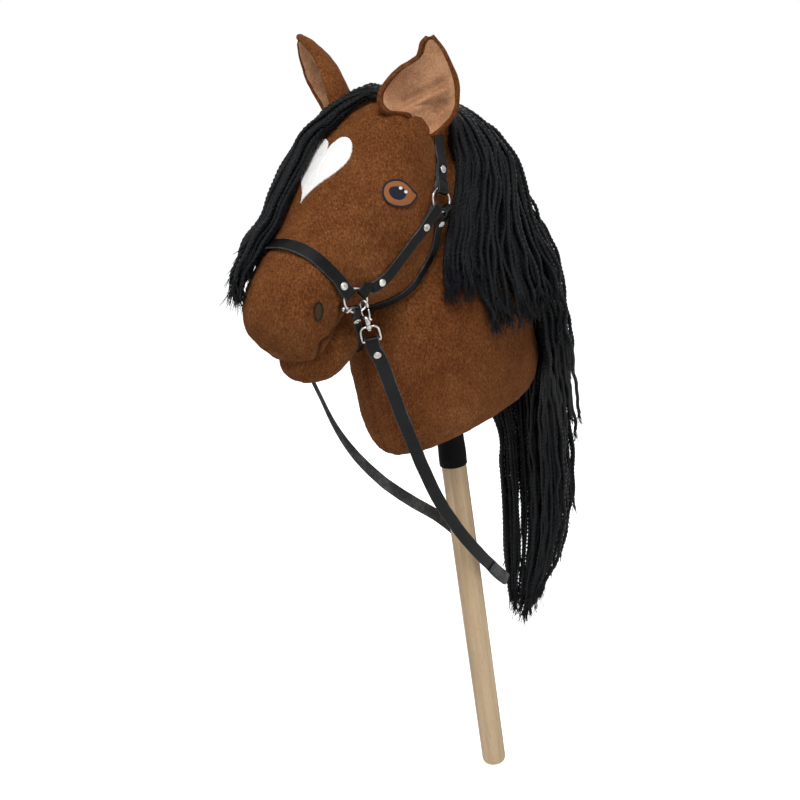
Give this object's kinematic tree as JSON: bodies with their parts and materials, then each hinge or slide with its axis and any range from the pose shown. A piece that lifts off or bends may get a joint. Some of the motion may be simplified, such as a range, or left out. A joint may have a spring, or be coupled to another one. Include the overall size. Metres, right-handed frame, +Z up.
{
  "type": "hobby horse",
  "caption": "Stuffed plush horse head on a wooden stick, with a yarn mane, strap bridle, bit rings and clip-on reins, for a child to ride.",
  "frame": {"origin": "centre of the flat end at the stick's foot", "axes": "+Z up the stick, the horse faces -Y, +X is the horse's left side"},
  "size_m": [0.1816, 0.3781, 0.7664],
  "materials": {
    "plush": "short saddle-brown plush",
    "wadding": "polyester wadding",
    "peach_felt": "peach felt",
    "white_felt": "white short-pile felt",
    "eye_thread": "embroidery thread",
    "dark_thread": "dark brown embroidery thread",
    "beech": "pale sanded hardwood",
    "black_rubber": "matte black sleeve",
    "black_leather": "black strap with a slight sheen",
    "grey_leather": "grey napped flesh side",
    "nickel": "bright nickel plate",
    "black_yarn": "thick twisted black cotton yarn"
  },
  "bodies": {
    "horse": {"stick": "beech", "stick_sleeve": "black_rubber", "head_stuffing": "wadding", "head_cover_left": "plush", "head_cover_right": "plush", "face_gusset": "plush", "neck_stuffing": "wadding", "neck_cover_left": "plush", "neck_cover_right": "plush", "jaw_stuffing": "wadding", "jaw_cover": "plush", "ear_left_lining": "peach_felt", "ear_left": "plush", "ear_right_lining": "peach_felt", "ear_right": "plush", "heart_blaze": "white_felt", "eye_left": "eye_thread", "nostril_left": "dark_thread", "eye_right": "eye_thread", "nostril_right": "dark_thread", "noseband": "black_leather", "rivet_noseband_left": "nickel", "rivet_noseband_right": "nickel", "crown_strap": "black_leather", "rivet_crown_left": "nickel", "rivet_crown_right": "nickel", "cheek_strap_left": "black_leather", "rivet_cheek_low_left": "nickel", "rivet_cheek_high_left": "nickel", "cheek_strap_right": "black_leather", "rivet_cheek_low_right": "nickel", "rivet_cheek_high_right": "nickel", "throat_strap": "black_leather", "rivet_throat_left": "nickel", "rivet_throat_right": "nickel", "chin_strap": "black_leather", "rivet_chin_left": "nickel", "rivet_chin_right": "nickel", "bit_mouthpiece": "nickel", "mane_left_front": "black_yarn", "mane_left_middle": "black_yarn", "mane_left_back": "black_yarn", "mane_right_front": "black_yarn", "mane_right_middle": "black_yarn", "mane_right_back": "black_yarn", "forelock": "black_yarn"},
    "reins": {"reins": "black_leather", "rivet_rein_left": "nickel", "rivet_rein_right": "nickel", "rein_overlap": "grey_leather", "snap_swivel_left": "nickel", "snap_swivel_right": "nickel"},
    "bit_ring_left": {"bit_ring_left": "nickel"},
    "bit_ring_right": {"bit_ring_right": "nickel"},
    "cheek_ring_left": {"cheek_ring_left": "nickel"},
    "cheek_ring_right": {"cheek_ring_right": "nickel"},
    "snap_hook_left": {"snap_hook_left": "nickel"},
    "snap_hook_right": {"snap_hook_right": "nickel"},
    "snap_gate_left": {"snap_gate_left": "nickel"},
    "snap_gate_right": {"snap_gate_right": "nickel"}
  },
  "joints": [
    {"name": "reins_swing", "type": "hinge", "parent": "horse", "child": "reins", "pos_m": [0, -0.13562, 0.53972], "axis": [1, 0, 0], "range_deg": [-4, 4]},
    {"name": "bit_ring_left_turn", "type": "hinge", "parent": "horse", "child": "bit_ring_left", "pos_m": [0.0515, -0.141, 0.5475], "axis": [0.9091, -0.4041, 0.101], "continuous": true},
    {"name": "cheek_ring_left_turn", "type": "hinge", "parent": "horse", "child": "cheek_ring_left", "pos_m": [0.068, -0.04, 0.613], "axis": [0.9946, -0.0203, 0.1015], "continuous": true},
    {"name": "snap_hook_left_swivel", "type": "hinge", "parent": "reins", "child": "snap_hook_left", "pos_m": [0.05497, -0.13477, 0.52916], "axis": [-0.0201, -0.0805, 0.9965], "range_deg": [-8, 8]},
    {"name": "snap_gate_left_open", "type": "hinge", "parent": "snap_hook_left", "child": "snap_gate_left", "pos_m": [0.05789, -0.13438, 0.53075], "axis": [0.1735, -0.9819, -0.0758], "range_deg": [0, 20], "stiffness_Nm_per_rad": 0.002, "springref_deg": -5.73},
    {"name": "bit_ring_right_turn", "type": "hinge", "parent": "horse", "child": "bit_ring_right", "pos_m": [-0.0515, -0.141, 0.5475], "axis": [0.9091, 0.4041, -0.101], "continuous": true},
    {"name": "cheek_ring_right_turn", "type": "hinge", "parent": "horse", "child": "cheek_ring_right", "pos_m": [-0.068, -0.04, 0.613], "axis": [0.9946, 0.0203, -0.1015], "continuous": true},
    {"name": "snap_hook_right_swivel", "type": "hinge", "parent": "reins", "child": "snap_hook_right", "pos_m": [-0.05497, -0.13477, 0.52916], "axis": [-0.0201, 0.0805, -0.9965], "range_deg": [-8, 8]},
    {"name": "snap_gate_right_open", "type": "hinge", "parent": "snap_hook_right", "child": "snap_gate_right", "pos_m": [-0.05789, -0.13438, 0.53075], "axis": [0.1735, 0.9819, 0.0758], "range_deg": [0, 20], "stiffness_Nm_per_rad": 0.002, "springref_deg": -5.73}
  ]
}
